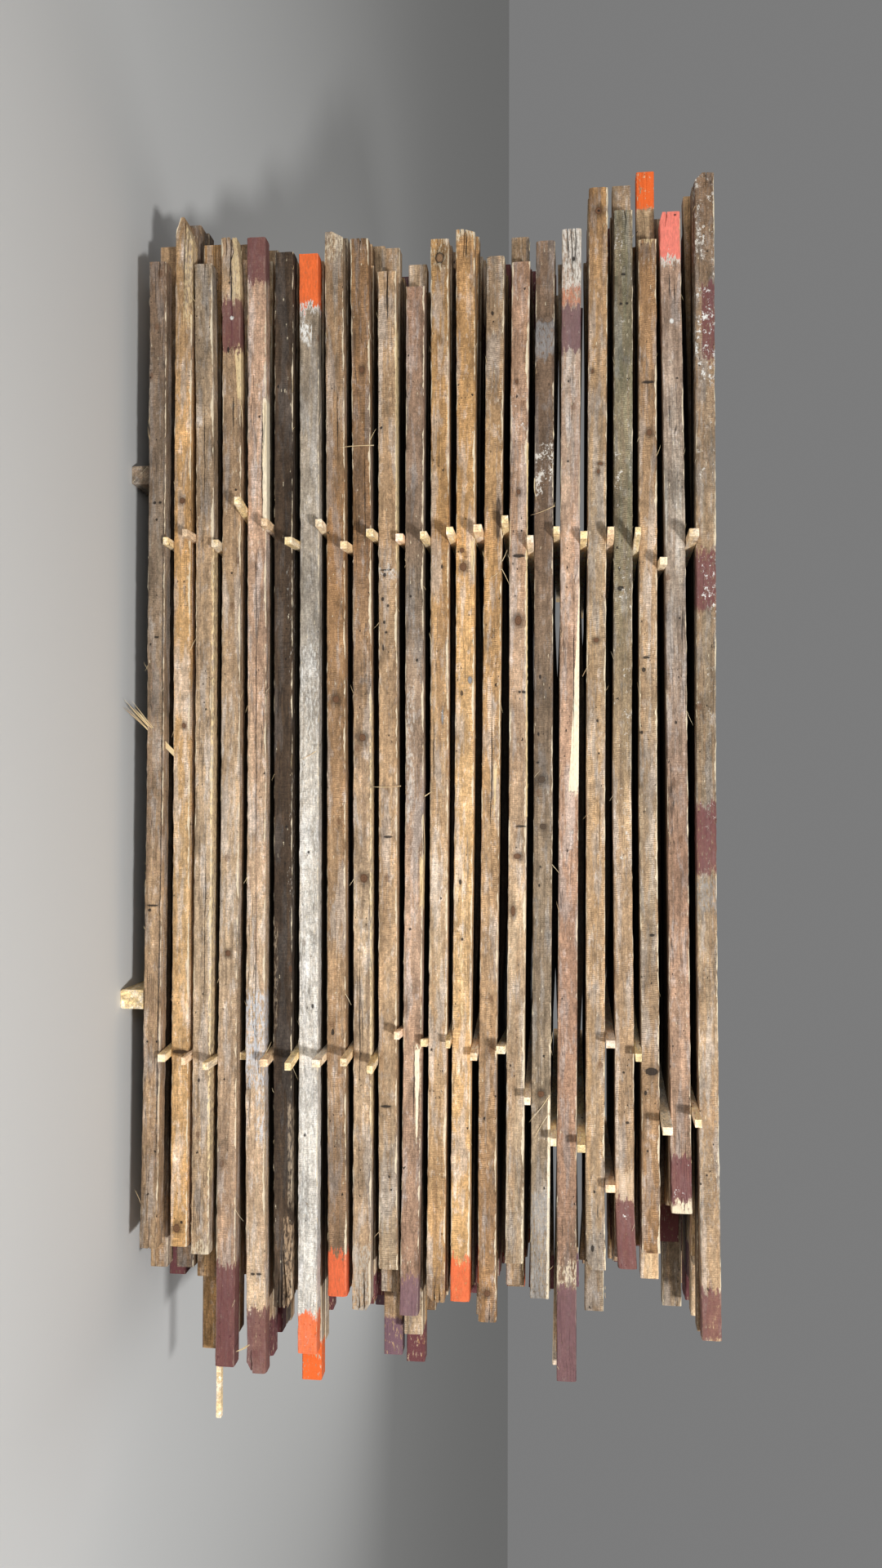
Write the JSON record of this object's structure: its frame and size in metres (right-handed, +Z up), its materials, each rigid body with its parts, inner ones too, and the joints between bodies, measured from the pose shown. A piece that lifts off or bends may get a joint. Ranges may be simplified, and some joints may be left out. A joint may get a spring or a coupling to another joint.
{
  "type": "stack of lumber",
  "caption": "Free-standing stack of weathered sawn timbers in level courses, kept apart by loose stickers and raised on two cross bearers.",
  "frame": {"origin": "middle of the stack's box on the floor, at the underside of the bearers", "axes": "+X along the timbers, +Y across the stack into its depth, +Z up"},
  "size_m": [4.9312, 1.2284, 2.3313],
  "materials": {
    "old_timber": "rough sawn, weathered and stained",
    "sticker_wood": "fresh sawn, pale",
    "bearer_wood": "rough sawn, grey and dusty"
  },
  "bodies": {
    "root": {"bearer_left": "bearer_wood", "bearer_right": "bearer_wood", "course_01": "old_timber", "course_02": "old_timber", "course_03": "old_timber", "course_04": "old_timber", "course_05": "old_timber", "course_06": "old_timber", "course_07": "old_timber", "course_08": "old_timber", "course_09": "old_timber", "course_10": "old_timber", "course_11": "old_timber", "course_12": "old_timber", "course_13": "old_timber", "course_14": "old_timber", "course_15": "old_timber", "course_16": "old_timber", "course_17": "old_timber", "course_18": "old_timber", "course_19": "old_timber", "course_20": "old_timber", "course_21": "old_timber", "course_22": "old_timber", "loose_lath": "sticker_wood", "stickers_left": "sticker_wood", "stickers_right": "sticker_wood"}
  },
  "joints": []
}
